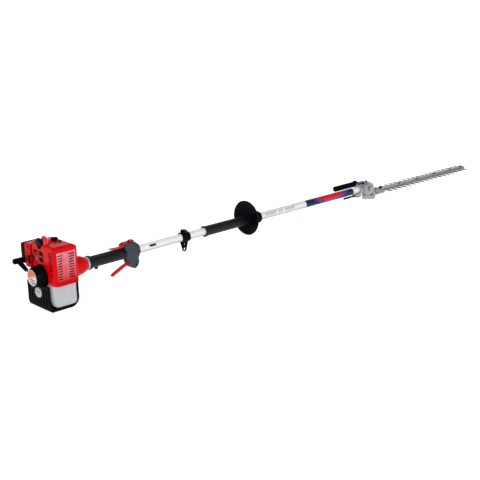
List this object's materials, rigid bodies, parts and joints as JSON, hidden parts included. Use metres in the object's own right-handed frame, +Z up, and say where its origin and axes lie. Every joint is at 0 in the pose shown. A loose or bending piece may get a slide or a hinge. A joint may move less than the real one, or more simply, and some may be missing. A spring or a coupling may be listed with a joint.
{
  "type": "pole hedge trimmer",
  "caption": "Petrol pole hedge trimmer: small two-stroke engine on a stand, straight pole with throttle and front grips, tilting gear head and double-sided reciprocating blade.",
  "frame": {"origin": "middle of the stand's flat bottom face, under the crankshaft", "axes": "+X along the pole from the engine to the blade, +Y to the left seen from behind the engine, +Z up"},
  "size_m": [2.18, 0.181, 0.2067],
  "materials": {
    "red_cover": "glossy moulded",
    "red_control": "satin moulded",
    "black_plastic": "fine texture",
    "grey_plastic": "fine texture",
    "grip_rubber": "soft satin",
    "black_rubber": "satin",
    "primer_rubber": "translucent satin",
    "tank_plastic": "translucent satin",
    "cap_plastic": "satin",
    "tube_aluminium": "anodised satin",
    "cast_aluminium": "cast, bead blasted",
    "blade_steel": "ground",
    "machined_steel": "machined",
    "black_fastener": "blackened",
    "muffler_steel": "heat stained",
    "coil_black": "potting resin",
    "filter_foam": "open foam",
    "starter_cord": "braided"
  },
  "bodies": {
    "machine": {"crankcase": "cast_aluminium", "cylinder": "cast_aluminium", "bearings": "machined_steel", "ignition_coil": "coil_black", "spark_plug": "machined_steel", "plug_cap": "black_rubber", "plug_lead": "black_rubber", "engine_cover": "red_cover", "plug_hood": "red_cover", "muffler": "muffler_steel", "fan_case": "red_cover", "clamp_ring": "cast_aluminium", "starter_case": "black_plastic", "air_cleaner_case": "red_cover", "air_filter": "filter_foam", "air_cleaner_lid": "black_plastic", "carburettor": "cast_aluminium", "fuel_tank": "tank_plastic", "tank_guard": "black_plastic", "shaft_tube": "tube_aluminium", "shaft_bushes": "machined_steel", "rear_grip": "grip_rubber", "throttle_housing_right": "grey_plastic", "throttle_housing_left": "grey_plastic", "trigger_spring": "machined_steel", "throttle_cable": "black_rubber", "hanger_clamp": "black_plastic", "front_grip": "grip_rubber", "hand_guard": "black_plastic", "screws": "black_fastener", "head_clamp": "cast_aluminium"},
    "crank": {"crankshaft": "machined_steel", "flywheel": "cast_aluminium", "clutch_shoes": "machined_steel"},
    "piston": {"piston": "machined_steel"},
    "connecting_rod": {"connecting_rod": "machined_steel"},
    "drive": {"clutch_drum": "machined_steel", "drive_shaft": "machined_steel"},
    "starter_reel": {"starter_reel": "cast_aluminium"},
    "starter_handle": {"starter_grip": "black_plastic", "starter_rope": "starter_cord"},
    "fuel_cap": {"fuel_cap": "cap_plastic"},
    "cover_knob": {"cover_knob": "black_plastic"},
    "choke_lever": {"choke_lever": "black_plastic"},
    "throttle_arm": {"throttle_arm": "machined_steel"},
    "primer": {"primer_bulb": "primer_rubber"},
    "trigger": {"throttle_trigger": "red_control"},
    "safety_lever": {"safety_lever": "red_control"},
    "stop_switch": {"stop_switch": "red_control"},
    "lock_lever": {"lock_lever": "black_plastic"},
    "head": {"gear_case": "cast_aluminium", "gear_cover": "cast_aluminium", "angle_handle": "black_plastic", "guide_bar": "blade_steel", "blade_bolts": "black_fastener"},
    "pivot_gear": {"pivot_gear": "machined_steel"},
    "reduction": {"reduction_pinion": "machined_steel"},
    "crank_gear": {"crank_gear": "machined_steel"},
    "upper_blade": {"upper_blade": "blade_steel"},
    "lower_blade": {"lower_blade": "blade_steel"}
  },
  "joints": [
    {"name": "crank_spin", "type": "hinge", "parent": "machine", "child": "crank", "pos_m": [0, 0, 0.095], "axis": [1, 0, 0], "continuous": true},
    {"name": "piston_slide", "type": "slide", "parent": "machine", "child": "piston", "axis": [0, 0, 1], "range_m": [-0.0116, 0.0164]},
    {"name": "rod_swing", "type": "hinge", "parent": "piston", "child": "connecting_rod", "pos_m": [0, 0, 0.1346], "axis": [1, 0, 0], "range_deg": [-19, 19]},
    {"name": "drive_spin", "type": "hinge", "parent": "machine", "child": "drive", "pos_m": [0, 0, 0.095], "axis": [1, 0, 0], "continuous": true},
    {"name": "starter_pull", "type": "slide", "parent": "machine", "child": "starter_handle", "axis": [0, 0.91, 0.4146], "range_m": [0, 0.5], "stiffness_N_per_m": 6, "springref_m": -0.5},
    {"name": "reel_spin", "type": "hinge", "parent": "machine", "child": "starter_reel", "pos_m": [-0.05, 0, 0.095], "axis": [1, 0, 0], "range_deg": [-1340, 0]},
    {"name": "fuel_cap_turn", "type": "hinge", "parent": "machine", "child": "fuel_cap", "pos_m": [-0.04, 0.007, 0.046], "axis": [1, 0, 0], "range_deg": [0, 360]},
    {"name": "cover_knob_turn", "type": "hinge", "parent": "machine", "child": "cover_knob", "pos_m": [0.02, 0, 0.19], "axis": [0, 0, 1], "range_deg": [0, 360]},
    {"name": "choke_turn", "type": "hinge", "parent": "machine", "child": "choke_lever", "pos_m": [-0.03, 0.042, 0.145], "axis": [1, 0, 0], "range_deg": [0, 60]},
    {"name": "trigger_pull", "type": "hinge", "parent": "machine", "child": "trigger", "pos_m": [0.279, 0, 0.061], "axis": [0, 1, 0], "range_deg": [0, 16], "stiffness_Nm_per_rad": 0.3, "springref_deg": -17.19},
    {"name": "throttle_arm_turn", "type": "hinge", "parent": "machine", "child": "throttle_arm", "pos_m": [0.004, 0.043, 0.151], "axis": [0, 0, 1], "range_deg": [0, 40]},
    {"name": "primer_press", "type": "slide", "parent": "machine", "child": "primer", "axis": [1, 0, 0], "range_m": [0, 0.003], "stiffness_N_per_m": 400, "springref_m": -0.001},
    {"name": "safety_press", "type": "hinge", "parent": "machine", "child": "safety_lever", "pos_m": [0.27, 0, 0.113], "axis": [0, -1, 0], "range_deg": [0, 3], "stiffness_Nm_per_rad": 0.3, "springref_deg": -11.46},
    {"name": "stop_slide", "type": "slide", "parent": "machine", "child": "stop_switch", "axis": [1, 0, 0], "range_m": [0, 0.006]},
    {"name": "lock_pull", "type": "hinge", "parent": "machine", "child": "lock_lever", "pos_m": [1.378, 0, 0.0735], "axis": [0, -1, 0], "range_deg": [0, 20], "stiffness_Nm_per_rad": 0.3, "springref_deg": -17.19},
    {"name": "head_tilt", "type": "hinge", "parent": "machine", "child": "head", "pos_m": [1.425, 0, 0.095], "axis": [0, 1, 0], "range_deg": [-90, 35]},
    {"name": "pivot_gear_spin", "type": "hinge", "parent": "machine", "child": "pivot_gear", "pos_m": [1.425, 0, 0.095], "axis": [0, 1, 0], "continuous": true},
    {"name": "reduction_spin", "type": "hinge", "parent": "head", "child": "reduction", "pos_m": [1.425, 0, 0.06], "axis": [0, 0, 1], "continuous": true},
    {"name": "crank_gear_spin", "type": "hinge", "parent": "head", "child": "crank_gear", "pos_m": [1.4484, 0, 0.06], "axis": [0, 0, 1], "continuous": true},
    {"name": "upper_blade_slide", "type": "slide", "parent": "head", "child": "upper_blade", "axis": [1, 0, 0], "range_m": [-0.0075, 0.0075]},
    {"name": "lower_blade_slide", "type": "slide", "parent": "head", "child": "lower_blade", "axis": [1, 0, 0], "range_m": [-0.0075, 0.0075]}
  ],
  "couplings": [
    {"joint": "reel_spin", "follows": "starter_pull", "rad_per_m": -46.5},
    {"joint": "throttle_arm_turn", "follows": "trigger_pull", "ratio": 2.5},
    {"joint": "pivot_gear_spin", "follows": "drive_spin", "ratio": -0.37931},
    {"joint": "reduction_spin", "follows": "drive_spin", "ratio": 1},
    {"joint": "crank_gear_spin", "follows": "drive_spin", "ratio": -0.27778},
    {"joint": "lower_blade_slide", "follows": "upper_blade_slide", "ratio": -1}
  ]
}
